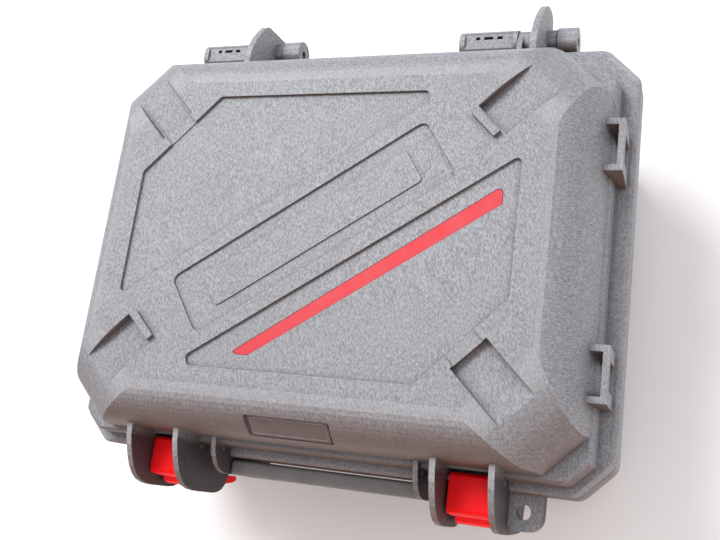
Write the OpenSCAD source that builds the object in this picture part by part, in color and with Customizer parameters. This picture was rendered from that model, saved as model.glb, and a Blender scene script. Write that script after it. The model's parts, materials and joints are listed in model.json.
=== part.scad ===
// Portable insulation resistance tester in a hinged, latched, moulded case.
// X runs along the case's width, +Y is the hinge side, +Z is up.
// The origin is the middle of the assembly in plan, at the underside of the feet.

/* [Case] */
// Overall width of the case rim, mm
case_w = 315; // [280:1:360]
// Depth of the case rim, front to back, mm
case_d = 246.7; // [225:0.1:275]
// Height of the flat top of the lid above the floor, mm
lid_top_z = 178.5; // [160:0.5:200]
// Height of the parting line between lid and base, mm
part_z = 110.5; // [95:0.5:125]
// Wall thickness of the lid, mm
lid_wall = 3; // [2:0.5:5]
// Wall thickness of the base, mm
base_wall = 3.2; // [2:0.1:5]
// Depth of the moulded rim on each half, mm
rim_t = 9.7; // [6:0.1:14]

/* [Lid] */
// Radius of the long front and back edges of the lid, mm
front_r = 26; // [15:1:40]
// Depth of the two shallow panels in the lid, mm
recess_h = 1.6; // [0.5:0.1:3]
// Angle of the diagonal band on the lid, degrees
band_angle = 34; // [20:1:45]
// Depth of the four stacking pockets, mm
pocket_h = 5; // [3:0.5:8]
// Greatest opening angle of the lid, degrees
lid_open = 105; // [90:1:110]

/* [Latches and handle] */
// Distance of each latch from the middle, mm
latch_x = 86.8; // [70:0.1:110]
// Width of each latch lever, mm
latch_w = 24; // [15:0.1:28]
// Half the length of the carrying handle, mm
handle_half = 56.3; // [45:0.5:65]
// Thickness of the carrying handle, mm
handle_t = 8.5; // [6:0.5:12]

/* [Hinges] */
// Distance of each hinge from the middle, mm
hinge_x = 87; // [70:1:110]
// Radius of the hinge barrels, mm
barrel_r = 8.5; // [6:0.5:11]
// Radius of the steel hinge pins, mm
pin_r = 2.5; // [1.5:0.1:4]

/* [Control panel] */
// Height of the panel face above the floor, mm
panel_z = 99; // [90:0.5:105]
// Diameter of the selector knob, mm
knob_d = 50; // [36:1:60]
// Diameter of the test button cap, mm
test_d = 25; // [18:0.5:32]
// Travel of the keys, mm
key_travel = 1.2; // [0.5:0.1:2]

/* [Hidden] */
eps = 0.01;
y_off = -8.9;               // moves the rim's middle so that the assembly is centred
c_case = [0.66, 0.67, 0.69];
c_red = [0.80, 0.05, 0.06];
c_stripe = [0.93, 0.28, 0.33];
c_steel = [0.75, 0.76, 0.78];
c_dark = [0.16, 0.17, 0.18];
c_grip = [0.46, 0.50, 0.54];
c_board = [0.05, 0.35, 0.20];
c_rubber = [0.08, 0.08, 0.09];
gap = 0.3;                  // half-gap between the two rims
lid_z = part_z + gap;       // underside of the lid rim
base_z = part_z - gap;      // top of the base rim
rim_top = lid_z + rim_t;
rim_low = base_z - rim_t;
hw = case_w / 2;
hd = case_d / 2;
rim_y = 4.35;               // the rim reaches further out at the back, under the hinges
body_y = 119;               // half the depth that the domed body is laid out on
front_dx = 2.5;             // the latches and the handle sit a little to the right
side_x0 = 118.5; side_a = 27.5; side_b = 56;      // curved left and right faces of the lid
diag_d0 = 116; diag_a = 50; diag_b = 56;          // curved corner faces of the lid
front_y0 = body_y - 10 - front_r;
plinth_z = lid_top_z - 43;
plinth_x = 146.5; plinth_y = 112.5; plinth_c = 11;
top_wall = 4;
pivot_y = -115.8; pivot_z = lid_top_z - 48;       // latch pins
hinge_y = 138; hinge_z = part_z;
grip_top = lid_top_z - 61;
grip_h = 14;
grip_y = -120 - handle_t / 2;
handle_z = 76;                                     // height of the handle pivots
ear_in = latch_x - 16.2; ear_out = latch_x + 16.2; ear_t = 3.1;
ear_h0 = 57; ear_h1 = 59.7;                        // ears of the handle
panel_t = 3;
floor_z = 4.5 + base_wall;
knob_x = 78; knob_y = 42;
test_x = 78; test_y = -48;
key_y = -48; key_x = -34; key_p = 19;
term_x = 126; term_y = [58, 24, -10];
inlet_x = -118; inlet_y = 58;
usb_x = -118; usb_y = 4;
lcd_x = -34; lcd_y = 43;
valve_y = -54; valve_z = 80;
lug_x = 113; lug_r = 3.9;                          // hole of the padlock lug
screw_at = [[-136, 88], [-136, -88], [136, 88], [136, -88], [-48, 97], [48, 97], [-48, -97], [48, -97]];

module shift() { translate([0, y_off, 0]) children(); }
module front() { translate([front_dx, 0, 0]) children(); }
module mirror_pair() { children(); mirror([1, 0, 0]) children(); }

// Outline with every corner rounded: p is a list of points, r the radius, n the steps per corner.
function unit(v) = v / norm(v);
function turn(d) = d > 180 ? d - 360 : (d < -180 ? d + 360 : d);
function rounded(p, r, n) = [for (i = [0:len(p) - 1])
  let (q = p[i], a = p[(i + len(p) - 1) % len(p)], b = p[(i + 1) % len(p)],
       u = unit(a - q), w = unit(b - q), half = acos(u * w) / 2,
       c = q + unit(u + w) * r / sin(half), s = q + u * r / tan(half) - c,
       e = q + w * r / tan(half) - c, a0 = atan2(s[1], s[0]), d = turn(atan2(e[1], e[0]) - a0))
  for (k = [0:n]) c + r * [cos(a0 + d * k / n), sin(a0 + d * k / n)]];
function octagon(x, y, c) = [[x, y - c], [x - c, y], [-x + c, y], [-x, y - c],
                             [-x, -y + c], [-x + c, -y], [x - c, -y], [x, -y + c]];
function box_pts(x, y) = [[x, y], [-x, y], [-x, -y], [x, -y]];
// Quarter ellipse from the flat top down to the wall.
function shoulder(x0, a, b, top, n) = [for (i = [0:n]) let (t = 90 * i / n)
  [x0 + a * sin(t), top - b * (1 - cos(t))]];
// The same with fuller sides, for the corners.
function full_shoulder(x0, a, b, top, n) = [for (i = [0:n]) let (t = 90 * i / n)
  [x0 + a * sin(t), top - b * (1 - pow(cos(t), 0.626))]];
function both(p) = concat([for (q = p) q], [for (i = [len(p) - 1:-1:0]) [-p[i][0], p[i][1]]]);

module slab(pts, z0, z1) { translate([0, 0, z0]) linear_extrude(z1 - z0) polygon(pts); }
module loft(p0, z0, p1, z1) { hull() { slab(p0, z0, z0 + eps); slab(p1, z1 - eps, z1); } }
// Plate in the YZ plane, from x0 to x1.
module plate_x(pts, x0, x1) {
  translate([x0, 0, 0]) rotate([90, 0, 90]) linear_extrude(x1 - x0) polygon(pts);
}
module rod_x(x0, x1, y, z, r, fn = 40) {
  translate([x0, y, z]) rotate([0, 90, 0]) cylinder(r = r, h = x1 - x0, $fn = fn);
}
module rod_z(x, y, z0, z1, r, fn = 40) { translate([x, y, z0]) cylinder(r = r, h = z1 - z0, $fn = fn); }
module box(x0, x1, y0, y1, z0, z1) { translate([x0, y0, z0]) cube([x1 - x0, y1 - y0, z1 - z0]); }

// The lid's domed body: three pairs of curved faces cut each other in crisp edges.
module dome(inset, top, bottom) {
  n = 14;
  side = concat(shoulder(side_x0, side_a - inset, side_b - inset, top, n),
                [[side_x0 + side_a - inset, bottom]]);
  front = concat(shoulder(front_y0, front_r - inset, front_r - inset, top, n),
                 [[body_y - 8.2 - inset, bottom]]);
  corner = concat(full_shoulder(diag_d0, diag_a - inset, diag_b - inset, top, 18),
                  [[diag_d0 + diag_a - inset, bottom]]);
  intersection() {
    translate([0, 200, 0]) rotate([90, 0, 0]) linear_extrude(400) polygon(both(side));
    plate_x(both(front), -200, 200);
    rotate([0, 0, 45]) plate_x(both(corner), -300, 300);
    rotate([0, 0, -45]) plate_x(both(corner), -300, 300);
  }
}

// Outline of the rim, drawn in by t. The back corners are cut a little deeper.
function flange(t) = let (x = hw - t, f = rim_y - hd + t, b = rim_y + hd - t)
  [[x, b - 19], [x - 19, b], [-x + 19, b], [-x, b - 19],
   [-x, f + 17], [-x + 17, f], [x - 17, f], [x, f + 17]];
module rim(z0, z1, edge_up) {
  outer = rounded(flange(0), 8, 5);
  mid = rounded(flange(0.7), 7.4, 5);
  inner = rounded(flange(2.4), 6.5, 5);
  if (edge_up) {
    slab(outer, z0, z1 - 2.4);
    loft(outer, z1 - 2.4 - eps, mid, z1 - 0.8);
    loft(mid, z1 - 0.8 - eps, inner, z1);
  } else {
    slab(outer, z0 + 1.6, z1);
    loft(inner, z0, outer, z0 + 1.6 + eps);
  }
}

ul_recess = rounded([[-108.6, 31.7], [-108.6, -41.2], [57.9, 70.6], [56.1, 76.9], [-66.1, 76.9]], 2.5, 3);
lr_recess = rounded([[108.6, -31.7], [108.6, 41.2], [-60.2, -71.6], [-58, -76.9], [66.1, -76.9]], 2.5, 3);
stripe_pts = [[-31.5, -65.6], [-33.3, -67.6], [-31, -68.8], [-24.4, -68.8], [100.5, 15.4],
              [100.5, 21.6], [99.4, 23.2], [97.7, 23.5]];
latch_ear = [[-100, 159.3], [-109, 158.6], [-115, 157.6], [-120, 155.8], [-126, 153], [-131, 149.8],
             [-135, 145.8], [-138, 141], [-139.6, 135], [-140.2, 128.5], [-140.2, lid_z], [-100, lid_z]];
latch_ear_low = [[-100, base_z], [-140.2, base_z], [-139.6, 104], [-137.8, 98.8], [-134.4, 95.2],
                 [-128, 92.4], [-106, 84], [-100, 84]];
// The ear beside the padlock lug reaches further down.
latch_ear_deep = [[-100, base_z], [-140.2, base_z], [-139.7, 95], [-138.4, 77], [-137, 74.6], [-133, 73],
                  [-106, 64], [-100, 64]];
handle_ear = [[-100, 141], [-110, 140.5], [-115, 139.4], [-120, 137.2], [-124, 134], [-127, 129.5],
              [-128.3, 124], [-128.5, 118], [-128.5, lid_z], [-100, lid_z]];
handle_ear_low = [[-100, base_z], [-128.5, base_z], [-128.5, 73], [-126.5, 69.5], [-122, 67.5],
                  [-104, 60], [-100, 60]];
fin_pts = [[100, 150], [108, 149.5], [115, 148.3], [120, 148], [126, 146.6], [134.2, 142.8], [141.5, 137.7],
           [146, 133.8], [149.5, 130.2], [152.6, 126.9], [155.1, 123.4], [156.6, 119.5], [157.6, 115],
           [158, 110.5], [157.4, 106.8], [155.4, 104.4], [151.5, 103.8], [147.8, 103.6], [144.4, 102.4],
           [138, 101.6], [134, 102.7], [131.4, 105.2], [129.4, 108.2], [128.4, 110.9], [119, 111],
           [108, 116], [100, 116]];
// The left fin is cut shorter at the back.
fin_pts_short = [for (p = fin_pts) [min(p[0], 148 + (130 - p[1]) * 0.08), p[1]]];
spur_pts = [[100, 118], [118, 120.5], [126, 121.5], [133, 120.8], [140, 118], [145, 113.5], [145, 109],
            [141, 104], [136, 103.2], [131.6, 105.8], [129.2, 108.6], [128.4, 110.9], [119, 111],
            [108, 114], [100, 114]];

lug_pts = rounded([[122.8, -100], [102, -100], [102, -137.6], [122.8, -137.6]], 8, 6);

// The four corners: c[0] is +1 on the right, c[1] is +1 at the back.
corners = [[1, 1], [-1, 1], [-1, -1], [1, -1]];
pocket_v = -22.7;           // how far each stacking pocket lies off the diagonal
module at_corner(c) {
  mirror([c[0] < 0 ? 1 : 0, 0, 0]) mirror([0, c[1] < 0 ? 1 : 0, 0]) rotate([0, 0, 45]) children();
}
module pocket_cut(top) {
  box(106.8, 160, pocket_v - 11.3, pocket_v + 11.3, top - pocket_h, top + 10);
}
module pocket_back(top) {
  box(103, 150, pocket_v - 14.5, pocket_v + 14.5, top - pocket_h - 3, top);
}

module strap_loop(side) {
  y0 = side > 0 ? 45 : -73.8;
  difference() {
    union() {
      box(138, 153.2, y0, y0 + 3.4, rim_top - 2, lid_top_z - 31.7);
      box(138, 153.2, y0 + 25.4, y0 + 28.8, rim_top - 2, lid_top_z - 31.7);
      box(150, 153.2, y0, y0 + 28.8, rim_top - 2, lid_top_z - 31.7);
    }
    box(148, 155, y0 + 7, y0 + 21.8, rim_top + 1.5, lid_top_z - 37);
  }
}

module lid_hinge(xc) {
  difference() {
    union() {
      plate_x(xc < 0 ? fin_pts_short : fin_pts, xc + 12.8, xc + 16.5);
      plate_x(spur_pts, xc - 0.4, xc + 2.6);
      rod_x(xc - 0.4, xc + 21.6, hinge_y, hinge_z, 7.6, 48);
      box(xc + 2, xc + 21.6, 112, 132, lid_z, 117.5);
    }
    rod_x(xc - 2, xc + 24, hinge_y, hinge_z, pin_r + 0.08, 48);
  }
}

module lid_shell() color(c_case) shift() difference() {
  union() {
    dome(0, lid_top_z, lid_z + 4);
    loft(rounded(octagon(plinth_x + 1.6, plinth_y + 1.2, plinth_c), 4, 4), rim_top - 1,
         rounded(octagon(plinth_x, plinth_y, plinth_c), 4, 4), plinth_z - 1.2);
    loft(rounded(octagon(plinth_x, plinth_y, plinth_c), 4, 4), plinth_z - 1.2 - eps,
         rounded(octagon(plinth_x - 1.2, plinth_y - 1.2, plinth_c), 3.6, 4), plinth_z);
    rim(lid_z, rim_top, true);
    front() for (s = [-1, 1]) {
      for (x = [ear_in, ear_out - ear_t])
        plate_x(latch_ear, s > 0 ? x : -x - ear_t, s > 0 ? x + ear_t : -x);
      plate_x(handle_ear, s > 0 ? ear_h0 : -ear_h1, s > 0 ? ear_h1 : -ear_h0);
    }
    for (s = [-1, 1]) { strap_loop(s); lid_hinge(s * hinge_x); }
    // padlock lug beside the right latch
    difference() {
      slab(lug_pts, lid_z, lid_z + 5);
      rod_z(lug_x, -128, lid_z - 1, lid_z + 7, lug_r, 48);
    }
    // small stacking ribs
    for (c = [corners[0], corners[2]]) at_corner(c)
      box(101.4, 105.6, pocket_v - 8.3, pocket_v + 9.7, lid_top_z - 1, 181);
  }
  difference() {
    dome(lid_wall, lid_top_z - top_wall, lid_z - 2);
    for (c = corners) at_corner(c) pocket_back(lid_top_z);
    // ribs that carry the ears
    for (x = [ear_in, ear_out - ear_t])
      front() mirror_pair() box(x, x + ear_t, -112, -103, lid_z - 3, lid_top_z - 20);
  }
  for (c = corners) at_corner(c) pocket_cut(lid_top_z);
  for (c = [corners[1], corners[3]]) at_corner(c)
    box(98, 108, pocket_v - 9.3, pocket_v + 9.7, lid_top_z - recess_h + 0.6, lid_top_z + 5);
  slab(ul_recess, lid_top_z - recess_h, lid_top_z + 5);
  slab(lr_recess, lid_top_z - recess_h, lid_top_z + 5);
  // diagonal panel, with a low blank plate left standing in it
  rotate([0, 0, band_angle]) difference() {
    slab(rounded(box_pts(80.3, 18), 4, 4), lid_top_z - 1.3, lid_top_z + 5);
    slab(rounded(box_pts(64, 10), 2.5, 4), lid_top_z - 2, lid_top_z - 0.55);
  }
  // groove for the stripe
  slab(stripe_pts, lid_top_z - recess_h - 1.1, lid_top_z + 5);
  // seat for the label
  translate([0, -103.05, lid_top_z - 12.3]) rotate([50, 0, 0])
    slab(rounded(box_pts(24, 8.2), 1.8, 4), -1.25, 12);
  front() for (s = [-1, 1]) {
    rod_x(s * latch_x - 22, s * latch_x + 22, pivot_y, pivot_z, 1.6, 32);
    rod_x(s * 58 - 8, s * 58 + 8, pivot_y, pivot_z, 1.6, 32);
    // room behind each latch for its knuckle to turn
    box(s * latch_x - 13.1, s * latch_x + 13.1, -120, -111.2, plinth_z - 14, plinth_z + 1);
  }
}

module stripe_inlay() color(c_stripe) shift()
  translate([33.6, -22.7, 0]) scale([0.9965, 0.9965, 1]) translate([-33.6, 22.7, 0])
  slab(stripe_pts, lid_top_z - recess_h - 1.1, lid_top_z - recess_h - 0.2);

module label_plate() color(c_dark) shift()
  translate([0, -103.05, lid_top_z - 12.3]) rotate([50, 0, 0]) difference() {
    slab(rounded(box_pts(22.4, 6.9), 1.2, 4), -1.25, -0.1);
    difference() {
      slab(rounded(box_pts(21.6, 6.1), 0.8, 4), -0.4, 1);
      slab(rounded(box_pts(20.9, 5.4), 0.6, 4), -0.5, -0.15);
    }
  }

lever_top = [[-112.6, 122.6], [-112.6, 131.2], [-113.2, 132.6], [-114.6, 133.5], [-130.8, 133.6],
             [-132.6, 132.8], [-133.4, 131.2], [-134.3, 121.8], [-133.6, 120.6], [-121.6, 120.9],
             [-121.2, 122.6]];
lever_low = [[-121.6, 124], [-133.6, 122.5], [-136.9, 119.6], [-138, 116], [-138, 110], [-136.8, 100],
             [-134.8, 87], [-133.3, 74], [-132.3, 69.8], [-131.1, 68.2], [-129.6, 68.4], [-128.9, 70.4],
             [-129.2, 80], [-129.4, 92], [-127.2, 96], [-127.2, 102.6], [-124.4, 103.4], [-123.4, 108],
             [-121.6, 112]];
module latch(xc) {
  difference() {
    union() {
      plate_x(lever_top, xc - latch_w / 2, xc + latch_w / 2);
      plate_x(lever_low, xc - latch_w / 2 + 2.2, xc + latch_w / 2 - 2.2);
    }
    rod_x(xc - 20, xc + 20, pivot_y, pivot_z, 1.56, 32);
    // hollow in the underside of the block
    box(xc - latch_w / 2 + 3, xc + latch_w / 2 - 3, -131, -119, 118, 124.6);
  }
}
module latch_left() color(c_red) shift() front() latch(-latch_x - 0.7);
module latch_right() color(c_red) shift() front() latch(latch_x);
module latch_pins() color(c_steel) shift() front()
  for (s = [-1, 1]) rod_x(s * latch_x - 16, s * latch_x + 16, pivot_y, pivot_z, 1.5, 32);

module handle_bar_outline(x0, x1, z0, z1) {
  translate([x0, 0, 0]) rotate([90, 0, 90]) linear_extrude(x1 - x0)
    polygon(rounded([[grip_y + handle_t / 2, z0], [grip_y - handle_t / 2, z0],
                     [grip_y - handle_t / 2, z1], [grip_y + handle_t / 2, z1]], 2, 4));
}
module handle_grip() color(c_grip) shift() front() difference() {
  handle_bar_outline(-handle_half, handle_half, grip_top - grip_h, grip_top);
  // finger waves along the lower edge
  for (i = [-3:3]) translate([i * 13.5, grip_y - 6, grip_top - grip_h - 8.6]) rotate([-90, 0, 0])
    cylinder(r = 10, h = 12, $fn = 48);
  mirror_pair() box(handle_half - 8.6, handle_half + 1, grip_y - 2.2, grip_y + 2.2,
                    grip_top - grip_h - 1, grip_top - 3);
}
module handle_arms() color(c_case) shift() front() mirror_pair() difference() {
  union() {
    box(handle_half - 9, handle_half, grip_y - handle_t / 2 + 0.4, grip_y + handle_t / 2 - 0.4,
        handle_z, grip_top - grip_h - 0.02);
    box(handle_half - 8.5, handle_half - 0.2, grip_y - 2.1, grip_y + 2.1, handle_z, grip_top - 3.4);
    rod_x(handle_half - 9, handle_half, grip_y, handle_z, handle_t / 2);
  }
  rod_x(handle_half - 12, handle_half + 2, grip_y, handle_z, 2.06, 40);
}
module handle_pins() color(c_steel) shift() front() mirror_pair() union() {
  rod_x(handle_half - 9.6, ear_h1 + 0.1, grip_y, handle_z, 2, 40);
  rod_x(ear_h1 + 0.03, ear_h1 + 1.2, grip_y, handle_z, 3.4, 40);
}

module base_hinge(xc) {
  difference() {
    union() {
      for (r = [[-35.7, -0.9], [22.1, 33.2]]) {
        rod_x(xc + r[0], xc + r[1], hinge_y, hinge_z, barrel_r, 56);
        plate_x([[106, 82], [119, 84], [128, 90], [138, 102.2], [142, 106], [134, 112],
                 [127.5, 110.2], [106, base_z]], xc + r[0], xc + r[1]);
      }
      for (s = [-27.5, -12]) difference() {
        translate([xc + s, 133, 112]) rotate([90, 0, 0]) cylinder(r = 4.3, h = 3.1, $fn = 40);
        translate([xc + s, 134, 112]) rotate([90, 0, 0]) cylinder(r = 2.7, h = 13, $fn = 40);
      }
    }
    rod_x(xc - 35, xc + 40, hinge_y, hinge_z, pin_r + 0.05, 48);
    // sunk panel on top of the long barrel, with three slots
    box(xc - 32.4, xc - 3.6, 132.8, 142.6, 117.4, 121);
    for (s = [[-26, -23.4], [-21, -15.6], [-13.2, -10]])
      box(xc + s[0], xc + s[1], 138.8, 140.6, 114.6, 121);
  }
}

module base_shell() color(c_case) shift() difference() {
  union() {
    slab(rounded(octagon(148.5, 110.5, 14), 8, 4), 12, rim_low + 1);
    loft(rounded(octagon(142, 104, 13), 7, 4), 4.5, rounded(octagon(148.5, 110.5, 14), 8, 4), 12 + eps);
    rim(rim_low, base_z, false);
    front() for (s = [-1, 1]) {
      for (x = [ear_in, ear_out - ear_t])
        plate_x(s > 0 && x > ear_in ? latch_ear_deep : latch_ear_low,
                s > 0 ? x : -x - ear_t, s > 0 ? x + ear_t : -x);
      // catch bar between the ears
      rod_x(s * latch_x - 15, s * latch_x + 15, -124, 99.6, 2.5, 32);
      box(s * latch_x - 15, s * latch_x + 15, -124, -108, 98.1, 101.1);
      plate_x(handle_ear_low, s > 0 ? ear_h0 : -ear_h1, s > 0 ? ear_h1 : -ear_h0);
    }
    for (s = [-1, 1]) {
      base_hinge(s * hinge_x);
      // stiffening ribs down the sides
      for (y = [-72, -24, 24, 72])
        box(s > 0 ? 147 : -149.6, s > 0 ? 149.6 : -147, y - 1.6, y + 1.6, 20, rim_low + 1);
    }
    for (x = [-30, 0, 30]) box(x - 1.6, x + 1.6, -113.5, -109, 20, rim_low + 1);
    for (x = [-45, -15, 15, 45]) box(x - 1.6, x + 1.6, 109, 118, 20, rim_low + 1);
    slab(lug_pts, base_z - 5, base_z);
    rod_x(146, 152.4, valve_y, valve_z, 9.5, 40);
  }
  difference() {
    union() {
      slab(rounded(octagon(148.5 - base_wall, 110.5 - base_wall, 13), 6, 4), 13, base_z + 5);
      slab(rounded(octagon(141, 103, 12), 6, 4), floor_z, 13 + eps);
    }
    // posts that take the panel screws
    for (p = screw_at) rod_z(p[0], p[1], floor_z - 1, panel_z - 12.2, 4.2, 32);
  }
  for (p = screw_at) rod_z(p[0], p[1], panel_z - 18, panel_z - 12, 1.95, 24);
  for (x = [-47, 47]) for (y = [-24, 24]) rod_z(58 + x, -34 + y, 6.1, 9, 1.95, 24);
  // groove for the seal
  difference() {
    slab(rounded(octagon(152.2, 113.7, 15), 6, 4), base_z - 2.2, base_z + 5);
    slab(rounded(octagon(148.2, 109.7, 15), 5, 4), base_z - 3, base_z + 6);
  }
  rod_z(lug_x, -128, base_z - 7, base_z + 2, lug_r, 48);
  front() mirror_pair() rod_x(55, 64, grip_y, handle_z, 2.04, 40);
  // seats for the feet
  for (c = corners) at_corner(c) box(107.6, 134.4, pocket_v - 10.2, pocket_v + 10.2, 3, 6);
  // through bore for the relief valve
  rod_x(140, 158, valve_y, valve_z, 6.05, 40);
}

module rim_gasket() color(c_rubber) shift() difference() {
  slab(rounded(octagon(152, 113.5, 15), 5.8, 4), base_z - 2.15, base_z + 0.3);
  slab(rounded(octagon(148.5, 110, 15), 5.2, 4), base_z - 3, base_z + 1);
}
module hinge_pin(xc) { rod_x(xc - 34.6, xc + 30.5, hinge_y, hinge_z, pin_r, 48); }
module hinge_pin_left() color(c_steel) shift() hinge_pin(-hinge_x);
module hinge_pin_right() color(c_steel) shift() hinge_pin(hinge_x);
module feet() color(c_rubber) shift()
  for (c = corners) at_corner(c) box(107.8, 134.2, pocket_v - 10, pocket_v + 10, 0, 5.9);
module relief_valve() color(c_dark) shift() difference() {
  union() {
    rod_x(142.5, 153, valve_y, valve_z, 6, 40);
    rod_x(152.42, 155, valve_y, valve_z, 8, 40);
    rod_x(142, 145.2, valve_y, valve_z, 8.5, 6);
  }
  for (a = [0:60:300]) translate([154, valve_y, valve_z]) rotate([a, 0, 0]) translate([0, 5.4, 0])
    rotate([0, 90, 0]) cylinder(r = 1, h = 3, $fn = 16);
  rod_x(154.1, 160, valve_y, valve_z, 2.2, 6);
}

panel_pts = rounded(octagon(144.8, 106.8, 13), 6, 4);
module rect_cut(x, y, w, d, z0, z1, r = 1.5) {
  translate([x, y, 0]) slab(rounded(box_pts(w / 2, d / 2), r, 4), z0, z1);
}
function key_at(i) = [[0, key_p], [0, -key_p], [-key_p, 0], [key_p, 0], [0, 0], [-44, 0], [44, 0]][i];
module panel() color(c_case) shift() difference() {
  union() {
    slab(panel_pts, panel_z - panel_t, panel_z);
    // raised frame around the sockets and the inlet
    rect_cut(term_x - 1, 24, 30, 104, panel_z - 1, panel_z + 3, 5);
    rect_cut(inlet_x, inlet_y, 36, 56, panel_z - 1, panel_z + 3, 5);
    rod_z(knob_x, knob_y, panel_z - 1, panel_z + 1.5, knob_d / 2 + 4, 72);
    // bosses for the panel screws stand on posts in the base
    for (p = screw_at) rod_z(p[0], p[1], panel_z - 12, panel_z, 5, 32);
    // rib frame under the plate
    difference() {
      slab(rounded(octagon(143, 105, 12.5), 5, 4), panel_z - 9, panel_z - 2);
      slab(rounded(octagon(140.5, 102.5, 12), 5, 4), panel_z - 10, panel_z + 1);
    }
  }
  for (p = screw_at) {
    rod_z(p[0], p[1], panel_z - 20, panel_z + 5, 2, 24);
    rod_z(p[0], p[1], panel_z - 2.2, panel_z + 5, 3.8, 32);
  }
  rect_cut(lcd_x, lcd_y, 104.6, 62.6, panel_z - 5, panel_z + 5, 2.3);
  for (i = [0:6]) let (k = key_at(i))
    rect_cut(key_x + k[0], key_y + k[1], 15.2, 13.2, panel_z - 5, panel_z + 5, 2);
  rod_z(knob_x, knob_y, panel_z - 6, panel_z + 6, 6, 40);
  rod_z(test_x, test_y, panel_z - 6, panel_z + 6, 15.2, 56);
  for (y = term_y) rod_z(term_x, y, panel_z - 6, panel_z + 6, 11.1, 48);
  rect_cut(inlet_x, inlet_y, 27.4, 48, panel_z - 6, panel_z + 6, 3);
  rect_cut(usb_x, usb_y, 14.4, 10, panel_z - 6, panel_z + 6, 1);
  rect_cut(usb_x, usb_y - 0.4, 27, 20.2, panel_z - 1.2, panel_z + 6, 2);
}
module panel_overlay() color([0.13, 0.15, 0.18]) shift() difference() {
  union() {
    rect_cut(lcd_x + 1.2, 6.5, 131, 170, panel_z + 0.01, panel_z + 0.5, 8);
    rect_cut(test_x, test_y, 56, 60, panel_z + 0.01, panel_z + 0.5, 8);
  }
  rect_cut(lcd_x, lcd_y, 118.6, 76.6, panel_z - 1, panel_z + 2, 5);
  for (i = [0:6]) let (k = key_at(i))
    rect_cut(key_x + k[0], key_y + k[1], 15.4, 13.4, panel_z - 5, panel_z + 5, 2);
  rod_z(test_x, test_y, panel_z - 6, panel_z + 6, 18.3, 56);
  for (p = screw_at) rod_z(p[0], p[1], panel_z - 20, panel_z + 5, 4.4, 32);
}
module screw(x, y, z_head, len, r_head = 3.5, r = 1.9) {
  difference() {
    union() {
      rod_z(x, y, z_head - 1.9, z_head, r_head, 32);
      rod_z(x, y, z_head - len, z_head - 1.8, r, 20);
    }
    for (a = [0, 90]) translate([x, y, 0]) rotate([0, 0, a])
      box(-0.35, 0.35, -r_head * 0.62, r_head * 0.62, z_head - 0.9, z_head + 1);
  }
}
module panel_screws() color(c_steel) shift()
  for (p = screw_at) screw(p[0], p[1], panel_z - 0.25, 16);

module lcd_bezel() color(c_dark) shift() difference() {
  rect_cut(lcd_x, lcd_y, 118, 76, panel_z + 0.02, panel_z + 3, 5);
  rect_cut(lcd_x, lcd_y, 105, 63, panel_z - 1, panel_z + 1.4, 2);
  rect_cut(lcd_x, lcd_y, 98, 56, panel_z - 1, panel_z + 5, 2);
}
module lcd_window() color([0.55, 0.62, 0.60]) shift()
  rect_cut(lcd_x, lcd_y, 104.4, 62.4, panel_z - 1.4, panel_z + 1.3, 1.9);
module lcd_module() color([0.75, 0.78, 0.74]) shift() union() {
  rect_cut(lcd_x, lcd_y, 100, 60, 91, panel_z - 1.5, 1);
  rect_cut(lcd_x, lcd_y, 112, 72, 90.6, 93.5, 1);
}
module display_board() color(c_board) shift() difference() {
  rect_cut(lcd_x, lcd_y, 118, 78, 86.4, 88, 2);
  for (x = [-54, 54]) for (y = [-34, 34]) rod_z(lcd_x + x, lcd_y + y, 80, 90, 1.6, 20);
}
module selector_knob() color(c_dark) shift() difference() {
  union() {
    rod_z(knob_x, knob_y, panel_z + 1.9, panel_z + 8, knob_d / 2, 72);
    translate([knob_x, knob_y, 0]) loft(
      [for (a = [0:15:345]) 23.4 * [cos(a), sin(a)]], panel_z + 7.9,
      [for (a = [0:15:345]) 21 * [cos(a), sin(a)]], panel_z + 11);
    // grip bar across the knob
    translate([knob_x, knob_y, 0]) slab(rounded([[7.5, 19], [-7.5, 19], [-6, -20], [6, -20]], 4, 5),
                                       panel_z + 10, panel_z + 23);
    rod_z(knob_x, knob_y, 80, panel_z + 3, 3, 40);
  }
  for (a = [0:12:348]) translate([knob_x, knob_y, 0]) rotate([0, 0, a])
    translate([knob_d / 2 + 0.7, 0, panel_z + 1]) cylinder(r = 1.6, h = 8, $fn = 16);
  translate([knob_x, knob_y, 0]) box(-1.1, 1.1, 4, 30, panel_z + 22.2, panel_z + 25);
}
module knob_pointer() color([0.95, 0.95, 0.93]) shift()
  translate([knob_x, knob_y, 0]) box(-1.05, 1.05, 4.1, 18.6, panel_z + 22.25, panel_z + 23.4);
module selector_switch() color(c_dark) shift() difference() {
  union() {
    rod_z(knob_x, knob_y, 74, 92, 15, 48);
    rod_z(knob_x, knob_y, 91, panel_z - 1, 5.8, 40);
    for (a = [0:30:330]) translate([knob_x, knob_y, 0]) rotate([0, 0, a]) box(11, 13, -0.5, 0.5, 70.4, 75);
  }
  rod_z(knob_x, knob_y, 79, panel_z + 5, 3.06, 40);
}
module test_button() color(c_red) shift() union() {
  rod_z(test_x, test_y, panel_z - 1, panel_z + 7, test_d / 2, 56);
  rod_z(test_x, test_y, panel_z + 6.9, panel_z + 8, test_d / 2 - 1.2, 56);
  rod_z(test_x, test_y, panel_z - 10, panel_z, 4, 32);
}
module test_collar() color(c_dark) shift() difference() {
  union() {
    rod_z(test_x, test_y, panel_z + 0.02, panel_z + 4, 18, 56);
    rod_z(test_x, test_y, panel_z - 7, panel_z + 1, 15, 56);
  }
  rod_z(test_x, test_y, panel_z - 4, panel_z + 8, test_d / 2 + 0.4, 56);
  rod_z(test_x, test_y, panel_z - 9, panel_z + 8, 4.4, 32);
}
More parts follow.
